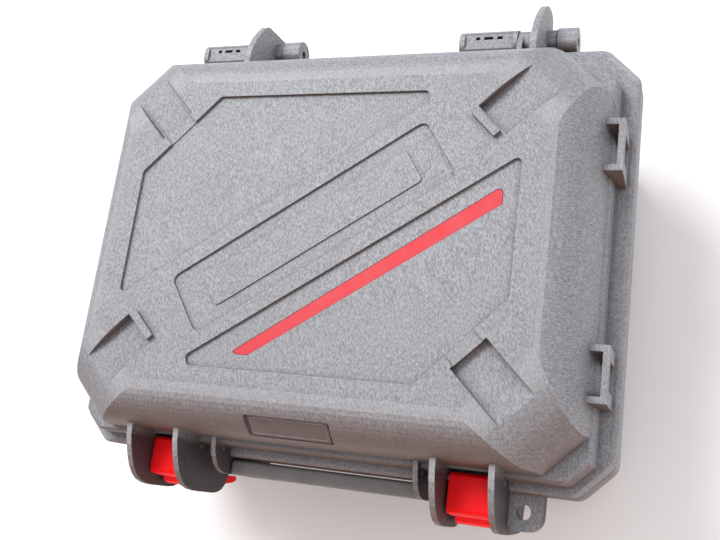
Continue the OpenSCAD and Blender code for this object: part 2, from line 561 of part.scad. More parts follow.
module test_switch() color(c_dark) shift() difference() {
  rect_cut(test_x, test_y, 22, 22, 77, panel_z - 7.2, 1.5);
  rod_z(test_x, test_y, 86, panel_z, 4.4, 32);
}
module key(i) { k = key_at(i); x = key_x + k[0]; y = key_y + k[1];
  union() {
    rect_cut(x, y, 14.4, 12.4, panel_z - 2, panel_z + 2.6, 1.8);
    rect_cut(x, y, 13, 11, panel_z + 2.5, panel_z + 3.1, 1.6);
    rect_cut(x, y, 17, 15, panel_z - 5, panel_z - 3.4, 1.5);
    rect_cut(x, y, 13.6, 11.6, panel_z - 3.6, panel_z - 1.9, 1.6);
  }
}
module key_up() color([0.80, 0.81, 0.80]) shift() key(0);
module key_down() color([0.80, 0.81, 0.80]) shift() key(1);
module key_left() color([0.80, 0.81, 0.80]) shift() key(2);
module key_right() color([0.80, 0.81, 0.80]) shift() key(3);
module key_ok() color([0.80, 0.81, 0.80]) shift() key(4);
module key_save() color([0.80, 0.81, 0.80]) shift() key(5);
module key_light() color([0.80, 0.81, 0.80]) shift() key(6);
module key_board() color(c_board) shift() difference() {
  union() {
    rect_cut(key_x, key_y, 116, 62, 88, 89.6, 2);
    for (i = [0:6]) let (k = key_at(i)) rect_cut(key_x + k[0], key_y + k[1], 6, 6, 89.5, panel_z - 6.6, 0.8);
  }
  for (x = [-54, 54]) for (y = [-27, 27]) rod_z(key_x + x, key_y + y, 80, 95, 1.6, 20);
}

module terminal_block() color(c_dark) shift() difference() {
  union() {
    rect_cut(term_x - 1, 24, 26, 100, panel_z + 3.02, panel_z + 5, 4);
    for (y = term_y) rod_z(term_x, y, panel_z - 8, panel_z + 10, 11, 48);
  }
  for (y = term_y) rod_z(term_x, y, panel_z - 9, panel_z + 12, 8.1, 48);
}
module terminal(y) {
  difference() {
    union() {
      rod_z(term_x, y, panel_z - 7, panel_z + 9, 8, 48);
      rod_z(term_x, y, panel_z - 22, panel_z - 6.9, 6, 40);
      rod_z(term_x, y, panel_z - 30, panel_z - 21.9, 2.2, 24);
    }
    rod_z(term_x, y, panel_z - 19, panel_z + 12, 2.05, 40);
    difference() {
      rod_z(term_x, y, panel_z - 4, panel_z + 12, 6.4, 40);
      rod_z(term_x, y, panel_z - 5, panel_z + 7, 4.2, 40);
    }
  }
}
module terminal_pos() color(c_red) shift() terminal(term_y[0]);
module terminal_guard() color([0.1, 0.25, 0.6]) shift() terminal(term_y[1]);
module terminal_neg() color([0.05, 0.05, 0.05]) shift() terminal(term_y[2]);

module mains_inlet() color(c_dark) shift() difference() {
  union() {
    rect_cut(inlet_x, inlet_y, 32, 50.4, panel_z + 3.02, panel_z + 5.2, 3);
    rect_cut(inlet_x, inlet_y, 27, 47.6, 72, panel_z + 4, 2.8);
  }
  // cold-appliance socket, turned along Y
  translate([inlet_x, inlet_y + 8, 0])
    slab(rounded(box_pts(8.3, 12.4), 2.5, 4), panel_z - 15, panel_z + 8);
  // fuse drawer
  rect_cut(inlet_x, inlet_y - 14.5, 17, 11, panel_z + 2.2, panel_z + 8, 1);
}
module inlet_pins() color([0.85, 0.72, 0.35]) shift() for (p = [[0, 7], [3.5, 0], [0, -7]])
  translate([inlet_x + p[0] - 1, inlet_y + 8 + p[1], 0]) box(-1, 1, -2, 2, panel_z - 15, panel_z - 0.5);
module usb_socket() color(c_steel) shift() difference() {
  rect_cut(usb_x, usb_y, 13.6, 9.2, panel_z - 14, panel_z - 1.5, 0.8);
  rect_cut(usb_x, usb_y, 11.6, 7.2, panel_z - 12, panel_z + 2, 0.5);
}
module usb_cover() color(c_rubber) shift() difference() {
  union() {
    rect_cut(usb_x, usb_y - 1, 26, 18, panel_z - 0.8, panel_z + 1.2, 2);
    rod_x(usb_x - 10, usb_x + 10, usb_y + 9.4, panel_z + 1.9, 1.6, 32);
    box(usb_x - 10, usb_x + 10, usb_y + 6, usb_y + 9.4, panel_z - 0.2, panel_z + 1.2);
    rect_cut(usb_x, usb_y - 10, 10, 4, panel_z + 0.2, panel_z + 1.9, 1);
  }
}

module main_board() color(c_board) shift() difference() {
  union() {
    rect_cut(30, 4, 170, 176, 64, 65.6, 3);
    rect_cut(-18, 40, 22, 22, 65.5, 68.2, 0.6);
    rect_cut(18, 8, 16, 16, 65.5, 67.8, 0.6);
    rect_cut(58, -30, 24, 12, 65.5, 71, 0.6);
    for (i = [0:4]) rod_z(-32 + i * 15, -66, 65.5, 73, 5, 32);
    for (i = [0:3]) rect_cut(30 + i * 18, -70, 12, 7, 65.5, 70, 0.5);
    rect_cut(-40, -10, 8, 50, 65.5, 72, 0.6);
    for (i = [0:2]) rod_z(-18 + i * 24, 76, 65.5, 71.5, 4, 32);
  }
  for (x = [-49, 109]) for (y = [-78, 86]) rod_z(x, y, 60, 70, 1.7, 20);
}
module board_pillars() color(c_steel) shift() for (x = [-49, 109]) for (y = [-78, 86]) union() {
  rod_z(x, y, floor_z + 0.02, 63.98, 3.5, 6);
  rod_z(x, y, 63.9, 67, 1.6, 20);
  rod_z(x, y, 65.62, 67.4, 3, 6);
}
module hv_module() color([0.12, 0.12, 0.14]) shift() difference() {
  union() {
    rect_cut(58, -34, 86, 74, floor_z + 0.02, 56, 4);
    rect_cut(58, -34, 104, 56, floor_z + 0.02, floor_z + 3, 4);
    for (i = [0:2]) rod_z(36 + i * 20, -58, 55.9, 61, 3, 32);
  }
  for (x = [-47, 47]) for (y = [-24, 24]) rod_z(58 + x, -34 + y, 0, 20, 2.1, 24);
  for (i = [-2:2]) rect_cut(58 + i * 15, -22, 6, 34, 53, 60, 1);
}
module power_supply() color([0.70, 0.71, 0.72]) shift() difference() {
  union() {
    rect_cut(-92, 58, 78, 74, floor_z + 0.02, floor_z + 2, 2);
    rect_cut(-92, 58, 74, 70, floor_z + 1.9, 46, 2);
  }
  rect_cut(-92, 58, 70, 66, floor_z + 4, 44, 1.5);
  for (i = [-5:5]) rect_cut(-92 + i * 6, 58, 3, 50, 40, 50, 1.2);
  for (s = [-1, 1]) for (i = [-4:4])
    box(-92 + s * 40 - 5, -92 + s * 40 + 5, 57 + i * 6, 59.5 + i * 6, 18, 38);
}
module battery_pack() color([0.10, 0.16, 0.36]) shift() union() {
  for (i = [0:3]) for (j = [0:1])
    translate([-134 + i * 19.1 + 9.5, 0, floor_z + 9.7 + j * 19.2]) rotate([90, 0, 0])
      translate([0, 0, 15]) cylinder(r = 9.3, h = 66, $fn = 40);
  box(-134, -57.6, -80.6, -15.4, floor_z + 7, floor_z + 31.2);
}
module battery_strap() color(c_steel) shift() difference() {
  box(-141, -51, -56, -40, floor_z + 0.02, floor_z + 40.3);
  box(-139.4, -52.6, -58, -38, floor_z - 1, floor_z + 38.8);
}
module bay_screws() color(c_steel) shift() {
  for (x = [-47, 47]) for (y = [-24, 24]) screw(58 + x, -34 + y, floor_z + 5.1, 6.5, 3.6, 1.9);
}

lid_shell();
stripe_inlay();
label_plate();
latch_left();
latch_right();
latch_pins();
handle_grip();
handle_arms();
handle_pins();
base_shell();
rim_gasket();
hinge_pin_left();
hinge_pin_right();
feet();
relief_valve();
panel();
panel_overlay();
panel_screws();
lcd_bezel();
lcd_window();
lcd_module();
display_board();
selector_knob();
knob_pointer();
selector_switch();
test_button();
test_collar();
test_switch();
key_up();
key_down();
key_left();
key_right();
key_ok();
key_save();
key_light();
key_board();
terminal_block();
terminal_pos();
terminal_guard();
terminal_neg();
mains_inlet();
inlet_pins();
usb_socket();
usb_cover();
main_board();
board_pillars();
hv_module();
power_supply();
battery_pack();
battery_strap();
bay_screws();
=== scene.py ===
import json
import math
import bmesh
import bpy
from mathutils import Matrix, Vector

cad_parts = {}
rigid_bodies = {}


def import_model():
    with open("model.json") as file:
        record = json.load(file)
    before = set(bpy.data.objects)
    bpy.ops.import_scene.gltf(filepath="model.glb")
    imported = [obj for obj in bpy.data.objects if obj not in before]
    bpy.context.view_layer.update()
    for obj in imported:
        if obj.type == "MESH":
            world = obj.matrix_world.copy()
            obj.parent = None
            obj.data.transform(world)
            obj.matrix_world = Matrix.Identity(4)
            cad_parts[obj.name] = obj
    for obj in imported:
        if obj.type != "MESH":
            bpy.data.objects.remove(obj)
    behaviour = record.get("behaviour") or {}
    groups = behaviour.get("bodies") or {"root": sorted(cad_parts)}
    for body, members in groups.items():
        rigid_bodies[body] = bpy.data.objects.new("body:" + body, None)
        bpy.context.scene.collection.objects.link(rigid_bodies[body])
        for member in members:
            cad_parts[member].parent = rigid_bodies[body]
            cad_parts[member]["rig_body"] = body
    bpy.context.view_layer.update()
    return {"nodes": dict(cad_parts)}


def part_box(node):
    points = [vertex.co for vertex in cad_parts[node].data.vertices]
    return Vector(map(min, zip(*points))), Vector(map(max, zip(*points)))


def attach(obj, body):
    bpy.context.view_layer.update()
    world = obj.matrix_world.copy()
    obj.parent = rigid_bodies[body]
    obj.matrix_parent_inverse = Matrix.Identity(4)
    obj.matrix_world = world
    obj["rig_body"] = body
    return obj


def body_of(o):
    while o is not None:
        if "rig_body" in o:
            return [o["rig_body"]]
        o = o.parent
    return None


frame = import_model()
nodes = frame["nodes"]
MM = 0.001

# the Mix node's colour sockets, which share their names with its number and vector ones
MIX_A = 6
MIX_B = 7
MIX_RESULT = 2


# ---------------------------------------------------------------- material tools
class Mat:
    """A Principled material with short calls for the nodes that colour and texture it."""

    def __init__(self, name):
        self.material = bpy.data.materials.new(name)
        self.material.use_nodes = True
        self.tree = self.material.node_tree
        self.tree.nodes.clear()
        self.shader = self.add("BsdfPrincipled")
        surface = self.add("OutputMaterial")
        self.link(self.shader.outputs["BSDF"], surface.inputs["Surface"])
        place = self.add("TexCoord")
        self.co = place.outputs["Object"]
        self.normal = place.outputs["Normal"]

    def add(self, kind):
        return self.tree.nodes.new("ShaderNode" + kind)

    def link(self, start, end):
        self.tree.links.new(start, end)

    def put(self, socket, value):
        """A socket gets a link, a colour or a number. None leaves it alone."""
        if isinstance(value, bpy.types.NodeSocket):
            self.link(value, socket)
        elif isinstance(value, tuple):
            socket.default_value = (*value, 1)
        elif value is not None:
            socket.default_value = value

    def shade(self, **values):
        """Puts values on the shader's own sockets, with _ for a space in their names."""
        for name, value in values.items():
            self.put(self.shader.inputs[name.replace("_", " ")], value)

    def stretched(self, scale, turn=(0, 0, 0), co=None):
        """Coordinates turned, then scaled along their own axes."""
        turned = self.add("Mapping")
        turned.inputs["Rotation"].default_value = turn
        self.link(co or self.co, turned.inputs["Vector"])
        scaled = self.add("Mapping")
        scaled.inputs["Scale"].default_value = scale
        self.link(turned.outputs["Vector"], scaled.inputs["Vector"])
        return scaled.outputs["Vector"]

    def shifted(self, by, amount):
        """Object coordinates pushed about by a colour."""
        n = self.add("VectorMath")
        n.operation = "MULTIPLY_ADD"
        vector, factor, added = n.inputs[:3]
        self.link(by, vector)
        factor.default_value = (amount, amount, amount)
        self.link(self.co, added)
        return n.outputs["Vector"]

    def noise(self, scale, detail, rough=0.6, co=None, kind="Fac"):
        """Cloudy noise, scale cells to the metre."""
        n = self.add("TexNoise")
        n.inputs["Scale"].default_value = scale
        n.inputs["Detail"].default_value = detail
        n.inputs["Roughness"].default_value = rough
        self.link(co or self.co, n.inputs["Vector"])
        return n.outputs[kind]

    def streaks(self, scale, turn=(0, 0, 0), co=None, detail=2, rough=0.6):
        """Noise drawn out along the axes where scale is low."""
        return self.noise(1.0, detail, rough, self.stretched(scale, turn, co))

    def spots(self, scale):
        """The distance to the nearest of many scattered points."""
        n = self.add("TexVoronoi")
        n.inputs["Scale"].default_value = scale
        self.link(self.co, n.inputs["Vector"])
        return n.outputs["Distance"]

    def part(self, vector, letter):
        """One of a vector's three numbers."""
        n = self.add("SeparateXYZ")
        self.link(vector, n.inputs["Vector"])
        return n.outputs[letter]

    def fit(self, value, low, high, to_low, to_high):
        """Maps low..high to to_low..to_high, clamped."""
        n = self.add("MapRange")
        n.inputs["From Min"].default_value = low
        n.inputs["From Max"].default_value = high
        n.inputs["To Min"].default_value = to_low
        n.inputs["To Max"].default_value = to_high
        self.link(value, n.inputs["Value"])
        return n.outputs["Result"]

    def mix(self, share, a, b):
        """Colour a at share 0, colour b at share 1."""
        n = self.add("Mix")
        n.data_type = "RGBA"
        self.put(n.inputs["Factor"], share)
        self.put(n.inputs[MIX_A], a)
        self.put(n.inputs[MIX_B], b)
        return n.outputs[MIX_RESULT]

    def times(self, a, b):
        """The product of two numbers."""
        n = self.add("Math")
        n.operation = "MULTIPLY"
        self.link(a, n.inputs[0])
        self.link(b, n.inputs[1])
        return n.outputs["Value"]

    def size_of(self, value):
        """A number without its sign."""
        n = self.add("Math")
        n.operation = "ABSOLUTE"
        self.link(value, n.inputs[0])
        return n.outputs["Value"]

    def bump(self, height, strength, distance, before=None):
        """A normal with relief, on top of the normal before."""
        n = self.add("Bump")
        n.inputs["Strength"].default_value = strength
        n.inputs["Distance"].default_value = distance
        self.link(height, n.inputs["Height"])
        if before is not None:
            self.link(before, n.inputs["Normal"])
        return n.outputs["Normal"]

    def open_air(self, distance, low=0.35):
        """0 deep in a hollow, 1 out in the open."""
        n = self.add("AmbientOcclusion")
        n.inputs["Distance"].default_value = distance
        n.samples = 6
        return self.fit(n.outputs["AO"], low, 1.0, 0.0, 1.0)

    def hollow_shaded(self, colour, share, shade_colour, distance, low=0.35):
        """Painted shade: a colour that turns to the given dark colour, by share, in hollows up to
        distance deep.
        """
        return self.mix(self.fit(self.open_air(distance, low), 0, 1, share, 0), colour, shade_colour)

    def rounded(self, radius):
        """The normal with its edges rounded off, and a mask that is 0 on a flat and 1 on an edge."""
        n = self.add("Bevel")
        n.samples = 4
        n.inputs["Radius"].default_value = radius
        flat = self.add("NewGeometry")
        dot = self.add("VectorMath")
        dot.operation = "DOT_PRODUCT"
        self.link(n.outputs["Normal"], dot.inputs[0])
        self.link(flat.outputs["Normal"], dot.inputs[1])
        return n.outputs["Normal"], self.fit(dot.outputs["Value"], 0.995, 0.85, 0.0, 1.0)


# ---------------------------------------------------------------- materials
# the pale grey of edges, from wear and painted highlight
WORN_HIGHLIGHT_GREY = (0.5, 0.5, 0.51)
# the pale grey of the painted highlight on shallow slopes
SLOPE_HIGHLIGHT_GREY = (0.55, 0.56, 0.58)
# the dark warm brown of the painted shade on faces to the front
FRONT_SHADE_BROWN = (0.115, 0.07, 0.054)
# near-black of the painted shade in hollows and on the ear sides
PAINTED_SHADE_DARK = (0.03, 0.018, 0.02)
# the dark colour of the painted shade in the corners of metal parts
METAL_CORNER_SHADE = (0.04, 0.035, 0.03)


def scaled_colour(colour, factor):
    """A colour made darker or lighter."""
    return tuple(v * factor for v in colour)


def fibres(m):
    """Two crossing families of fibres that drift as the melt flowed, and upright ones on side walls."""
    drift = m.noise(scale=9, detail=2, rough=0.5, kind="Color")
    flow = m.shifted(by=drift, amount=14 * MM)
    leaning = m.streaks(scale=(1600, 480, 480), turn=(0, 0, -0.35), co=flow)
    crossing = m.streaks(scale=(1800, 600, 600), turn=(0, 0, 0.75), co=flow)
    upright = m.streaks(scale=(480, 1600, 480), co=flow)
    top = m.mix(0.42, leaning, crossing)
    return m.mix(m.size_of(m.part(m.normal, "X")), top, upright)


def highlighted_slopes(m, colour):
    """Painted highlight: shallow slopes are painted a little pale, and flat tops are not."""
    most = 0.22
    up = m.part(m.normal, "Z")
    not_steep = m.fit(up, 0.9, 0.95, 0, 1)
    not_flat = m.fit(up, 0.985, 0.999, most, 0)
    return m.mix(m.times(not_steep, not_flat), colour, SLOPE_HIGHLIGHT_GREY)


def shaded_front(m, colour):
    """Painted warm shade: faces towards -Y are painted dark brown, on the lid more than on the base
    under it.
    """
    base_top = 100 * MM
    lid_foot = 114 * MM
    base_share = 0.3
    most = 0.86
    front = m.fit(m.part(m.normal, "Y"), -0.3, -0.85, 0, most)
    height = m.fit(m.part(m.co, "Z"), base_top, lid_foot, base_share, 1)
    return m.mix(m.times(front, height), colour, FRONT_SHADE_BROWN)


def shaded_ears(m, colour):
    """Painted shade: the sides of the ears that stand out in front are painted near black."""
    unshaded_until = -118 * MM
    shaded_from = -124 * MM
    most = 0.88
    beside = m.fit(m.size_of(m.part(m.normal, "X")), 0.6, 0.95, 0, 1)
    ahead = m.fit(m.part(m.co, "Y"), unshaded_until, shaded_from, 0, most)
    return m.mix(m.times(beside, ahead), colour, PAINTED_SHADE_DARK)


def moulded(name, base, dark, light, rough):
    """Fibre-filled grey plastic: fine crossing fibres, grain, pale flecks, edges pale with wear and
    painted highlight, painted highlight on shallow slopes, painted warm shade on faces to the front,
    painted shade on the ear sides and in hollows.
    """
    m = Mat(name)
    fibre = fibres(m)
    grain = m.noise(scale=2100, detail=2)
    broad = m.noise(scale=8, detail=3)
    cloud = m.noise(scale=60, detail=3)
    flecks = m.fit(m.spots(scale=420), 0.05, 0.16, 0.4, 0)
    c = m.mix(m.fit(fibre, 0.41, 0.6, 0, 1), dark, light)
    c = m.mix(m.fit(grain, 0.35, 0.7, 0, 0.35), c, base)
    c = m.mix(m.fit(broad, 0.35, 0.65, 0.16, 0), c, dark)
    c = m.mix(m.fit(cloud, 0.4, 0.7, 0, 0.12), c, light)
    c = m.mix(flecks, c, light)
    round_normal, edge = m.rounded(0.7 * MM)
    # edges pale with wear and painted highlight
    c = m.mix(m.times(edge, m.fit(cloud, 0.35, 0.65, 0.25, 0.6)), c, WORN_HIGHLIGHT_GREY)
    # painted highlight on shallow slopes
    c = highlighted_slopes(m, c)
    # painted warm shade on faces to the front
    c = shaded_front(m, c)
    # painted shade on the sides of the ears
    c = shaded_ears(m, c)
    # painted shade in hollows, wide and faint, then narrow and strong
    c = m.hollow_shaded(c, share=0.12, shade_colour=PAINTED_SHADE_DARK, distance=20 * MM, low=0.0)
    c = m.hollow_shaded(c, share=0.5, shade_colour=PAINTED_SHADE_DARK, distance=4 * MM)
    relief = m.bump(grain, strength=0.22, distance=0.2 * MM, before=round_normal)
    relief = m.bump(fibre, strength=0.3, distance=0.3 * MM, before=relief)
    m.shade(Base_Color=c, Roughness=m.fit(fibre, 0.3, 0.7, rough + 0.1, rough - 0.06))
    m.shade(Normal=relief, Specular_IOR_Level=0.45)
    return m.material


def smooth(name, base, rough, vary, scale=60, bump=0.15, coat=0.0, edge_wear_and_highlight=None, gloss=0.5):
    """Moulded or painted surface: slow and fine colour change, fine grain, edges pale with wear and
    painted highlight, painted shade in hollows.
    """
    m = Mat(name)
    broad = m.noise(scale, detail=4)
    fine = m.noise(scale * 12, detail=3)
    low = scaled_colour(base, 1 - vary)
    high = tuple(min(1, v * (1 + vary) + 0.005) for v in base)
    c = m.mix(m.fit(broad, 0.35, 0.65, 0, 1), low, high)
    c = m.mix(m.fit(fine, 0.6, 0.75, 0, 0.35), c, high)
    round_normal, edge = m.rounded(0.5 * MM)
    if edge_wear_and_highlight:
        # edges pale with wear and painted highlight
        c = m.mix(m.times(edge, m.fit(fine, 0.35, 0.6, 0.1, 0.8)), c, edge_wear_and_highlight)
    # painted shade in hollows
    c = m.hollow_shaded(c, share=0.5, shade_colour=scaled_colour(base, 0.2), distance=3 * MM)
    m.shade(Base_Color=c, Roughness=m.fit(broad, 0.3, 0.7, rough - 0.07, rough + 0.1))
    relief = m.bump(fine, strength=bump, distance=0.2 * MM, before=round_normal)
    m.shade(Normal=relief, Specular_IOR_Level=gloss)
    m.shade(Coat_Weight=coat, Coat_Roughness=0.2)
    return m.material


def brushed(name, base, rough, dull):
    """Drawn or turned metal: fine lines along X, dull spots, painted shade in the corners."""
    m = Mat(name)
    lines = m.streaks(scale=(150, 3000, 3000), detail=3, rough=0.7)
    stain = m.noise(scale=220, detail=4)
    c = m.mix(m.fit(lines, 0.3, 0.7, 0, 1), scaled_colour(base, 0.8), base)
    c = m.mix(m.fit(stain, 0.5, 0.75, 0, dull), c, scaled_colour(base, 0.5))
    # painted shade in corners
    c = m.hollow_shaded(c, share=0.6, shade_colour=METAL_CORNER_SHADE, distance=2 * MM)
    m.shade(Base_Color=c, Roughness=m.fit(stain, 0.3, 0.7, rough - 0.08, rough + 0.15))
    m.shade(Metallic=1.0, Normal=m.bump(lines, strength=0.2, distance=0.05 * MM))
    return m.material


def display_window():
    """Clear plastic with faint smears and hairline scratches."""
    m = Mat("display_window")
    smear = m.noise(scale=70, detail=4)
    scratch = m.streaks(scale=(40, 3000, 100), turn=(0, 0, 0.5))
    tint = m.mix(m.fit(smear, 0.3, 0.7, 0, 1), (0.93, 0.96, 0.95), (0.98, 1.0, 0.99))
    m.shade(Base_Color=tint, Roughness=m.fit(smear, 0.35, 0.7, 0.02, 0.12))
    m.shade(Normal=m.bump(scratch, strength=0.05, distance=0.02 * MM))
    m.shade(Transmission_Weight=1.0, IOR=1.2)
    return m.material


def floor_paper():
    """Pale paper, a little uneven."""
    m = Mat("floor_paper")
    fibre = m.noise(scale=400, detail=4)
    patches = m.fit(m.noise(scale=3, detail=3, rough=0.5), 0.3, 0.7, 0, 1)
    m.shade(Base_Color=m.mix(patches, (0.9, 0.9, 0.9), (0.93, 0.93, 0.93)))
    m.shade(Roughness=0.75, Normal=m.bump(fibre, strength=0.1, distance=0.1 * MM))
    return m.material


case_grey = moulded("case_grey", base=(0.235, 0.24, 0.256), dark=(0.15, 0.153, 0.164),
                    light=(0.345, 0.355, 0.383), rough=0.5)
panel_grey = moulded("panel_grey", base=(0.17, 0.175, 0.185), dark=(0.13, 0.134, 0.143),
                     light=(0.22, 0.225, 0.235), rough=0.45)
latch_red = smooth("latch_red", (0.97, 0.0, 0.004), rough=0.55, vary=0.05, edge_wear_and_highlight=(1.0, 0.05, 0.05),
                   gloss=0.2)
stripe_red = smooth("stripe_red", (0.58, 0.015, 0.026), rough=0.5, vary=0.06, gloss=0.4)
label_brown = smooth("label_brown", (0.125, 0.093, 0.09), rough=0.4, vary=0.15, bump=0.1,
                     edge_wear_and_highlight=(0.3, 0.28, 0.27))
mark_grey = smooth("mark_grey", (0.42, 0.38, 0.37), rough=0.45, vary=0.08, bump=0.05)
grip_grey = smooth("grip_grey", (0.165, 0.165, 0.167), rough=0.6, vary=0.12, bump=0.3,
                   edge_wear_and_highlight=(0.3, 0.3, 0.3))
black = smooth("black_plastic", (0.025, 0.026, 0.028), rough=0.5, vary=0.2, bump=0.25,
               edge_wear_and_highlight=(0.09, 0.09, 0.09))
soft_black = smooth("soft_black", (0.018, 0.018, 0.019), rough=0.78, vary=0.2, bump=0.4)
overlay = smooth("overlay_print", (0.045, 0.047, 0.052), rough=0.36, vary=0.08, scale=90, bump=0.2)
board_green = smooth("board_green", (0.01, 0.12, 0.055), rough=0.35, vary=0.2, bump=0.2, coat=0.3)
key_grey = smooth("key_grey", (0.5, 0.51, 0.5), rough=0.5, vary=0.06, edge_wear_and_highlight=(0.68, 0.68, 0.66))
socket_blue = smooth("socket_blue", (0.02, 0.07, 0.33), rough=0.4, vary=0.1, edge_wear_and_highlight=(0.1, 0.16, 0.45))
screen_green = smooth("screen_green", (0.36, 0.43, 0.37), rough=0.35, vary=0.04, bump=0.05)
screen_ink = smooth("screen_ink", (0.03, 0.035, 0.04), rough=0.5, vary=0.1, bump=0.02)
mark_white = smooth("mark_white", (0.78, 0.78, 0.76), rough=0.45, vary=0.05, bump=0.05)
steel = brushed("steel", (0.4, 0.41, 0.43), rough=0.36, dull=0.5)
pin_steel = brushed("pin_steel", (0.8, 0.81, 0.83), rough=0.25, dull=0.1)
brass = brushed("brass", (0.72, 0.5, 0.2), rough=0.28, dull=0.3)

FINISHES = {
    case_grey: "lid_shell base_shell handle_arms",
    panel_grey: "panel",
    stripe_red: "stripe_inlay",
    label_brown: "label_plate",
    overlay: "panel_overlay",
    latch_red: "latch_left latch_right test_button terminal_pos",
    grip_grey: "handle_grip",
    pin_steel: "latch_pins handle_pins",
    steel: "hinge_pin_left hinge_pin_right panel_screws usb_socket bay_screws board_pillars",
    black: "relief_valve lcd_bezel selector_knob selector_switch test_collar test_switch terminal_block "
           "terminal_neg mains_inlet hv_module power_supply battery_pack",
    soft_black: "rim_gasket feet usb_cover battery_strap",
    board_green: "display_board key_board main_board",
    key_grey: "key_up key_down key_left key_right key_ok key_save key_light",
    socket_blue: "terminal_guard",
    brass: "inlet_pins",
    display_window(): "lcd_window",
    screen_green: "lcd_module",
    mark_white: "knob_pointer",
}
for finish, names in FINISHES.items():
    for name in names.split():
        nodes[name].data.materials.clear()
        nodes[name].data.materials.append(finish)


# ---------------------------------------------------------------- added pieces
def top_middle(node):
    """The middle of the top of a node's box."""
    low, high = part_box(node)
    return Vector(((low[0] + high[0]) / 2, (low[1] + high[1]) / 2, high[2]))


def on_circle(centre, radius, angle):
    """The (x, y) of a point on a circle, its angle in degrees."""
    a = math.radians(angle)
    return (centre[0] + radius * math.cos(a), centre[1] + radius * math.sin(a))


class Marks:
    """A mesh of raised flat marks on the plane through origin with axes u and v."""

    # how far a mark reaches into the surface under it, and how near two corners are to be one
    SUNK = 0.05 * MM
    SAME = 0.0001 * MM

    def __init__(self, name, origin, u=Vector((1, 0, 0)), v=Vector((0, 1, 0)), height=0.15 * MM):
        self.name = name
        self.origin = origin
        self.u = u
        self.v = v
        self.height = height
        self.mesh = bmesh.new()

    def place(self, x, y, up):
        """The point at (x, y) on the plane, moved up off it."""
        return self.origin + self.u * x + self.v * y + self.u.cross(self.v) * up

    def slab(self, outline):
        """A raised slab over an outline of (x, y) points that runs anticlockwise."""
        foot = [self.mesh.verts.new(self.place(x, y, -self.SUNK)) for x, y in outline]
        head = [self.mesh.verts.new(self.place(x, y, self.height)) for x, y in outline]
        self.mesh.faces.new(head)
        self.mesh.faces.new(foot[::-1])
        for i in range(len(outline)):
            j = (i + 1) % len(outline)
            self.mesh.faces.new((foot[i], foot[j], head[j], head[i]))

    def bar(self, start, end, width):
        """A straight line between two (x, y) points, with cut ends."""
        a = Vector(start)
        b = Vector(end)
        along = (b - a).normalized()
        side = Vector((-along.y, along.x)) * width / 2
        self.slab([tuple(p) for p in (a - side, b - side, b + side, a + side)])

    def ray(self, centre, near, far, angle, width):
        """A line straight away from a centre, between two distances."""
        self.bar(on_circle(centre, near, angle), on_circle(centre, far, angle), width)

    def arc(self, centre, radius, start, end, width, steps=24):
        """A stretch of a ring, in degrees."""
        angles = [start + (end - start) * i / steps for i in range(steps + 1)]
        inner = [on_circle(centre, radius - width / 2, a) for a in angles]
        outer = [on_circle(centre, radius + width / 2, a) for a in angles]
        for i in range(steps):
            self.slab([inner[i], outer[i], outer[i + 1], inner[i + 1]])

    def done(self, material, node):
        """Makes the object, and lets it ride with a node's body."""
        bmesh.ops.remove_doubles(self.mesh, verts=self.mesh.verts, dist=self.SAME)
        data = bpy.data.meshes.new(self.name)
        self.mesh.to_mesh(data)
        self.mesh.free()
        piece = bpy.data.objects.new(self.name, data)
        bpy.context.collection.objects.link(piece)
        data.materials.append(material)
        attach(piece, body_of(nodes[node])[0])


def label_border():
    """A fine light line, set in from the edge of the blank label on the lid's front."""
    inset = 1.3 * MM
    corner = 1.2 * MM
    line = 0.32 * MM
    flatness = 0.05 * MM
    mesh = nodes["label_plate"].data
    face = max(mesh.polygons, key=lambda p: p.area * (p.normal.z - p.normal.y))
    out = face.normal.copy()
    u = Vector((1, 0, 0))
    v = out.cross(u).normalized()
    front = [p.co for p in mesh.vertices if abs((p.co - face.center).dot(out)) < flatness]
    xs = [p.dot(u) for p in front]
    ys = [p.dot(v) for p in front]
    origin = u * (max(xs) + min(xs)) / 2 + v * (max(ys) + min(ys)) / 2 + out * face.center.dot(out)
    half_x = (max(xs) - min(xs)) / 2 - inset
    half_y = (max(ys) - min(ys)) / 2 - inset
    marks = Marks("label_border", origin, u, v, height=0.06 * MM)
    for side in (-1, 1):
        marks.bar((corner - half_x, side * half_y), (half_x - corner, side * half_y), line)
        marks.bar((side * half_x, corner - half_y), (side * half_x, half_y - corner), line)
    for quarter, (x, y) in enumerate(((1, 1), (-1, 1), (-1, -1), (1, -1))):
        centre = (x * (half_x - corner), y * (half_y - corner))
        marks.arc(centre, corner, 90 * quarter, 90 * quarter + 90, line, steps=6)
    marks.done(mark_grey, "label_plate")


def arrow(marks, size, turn):
    """A triangle that points turn degrees away from +X."""
    marks.slab([on_circle((0, 0), size, turn + a) for a in (0, 130, 230)])


def tick(marks, size, line):
    """Two strokes that meet low on the left."""
    marks.bar((-size, 0), (-0.3 * size, -0.8 * size), line)
    marks.bar((-0.4 * size, -0.8 * size), (size, 0.9 * size), line)


def tray(marks, size, line):
    """An arrow down onto a line."""
    marks.bar((-size, -0.9 * size), (size, -0.9 * size), line)
    marks.bar((0, 0.1 * size), (0, size), line)
    marks.slab([(0, -0.6 * size), (0.7 * size, 0.1 * size), (-0.7 * size, 0.1 * size)])


def lamp_sign(marks, size, line):
    """A ring with eight rays."""
    marks.arc((0, 0), 0.5 * size, 0, 360, 0.5 * line)
    for i in range(8):
        marks.ray((0, 0), 0.8 * size, 1.2 * size, 45 * i, 0.6 * line)


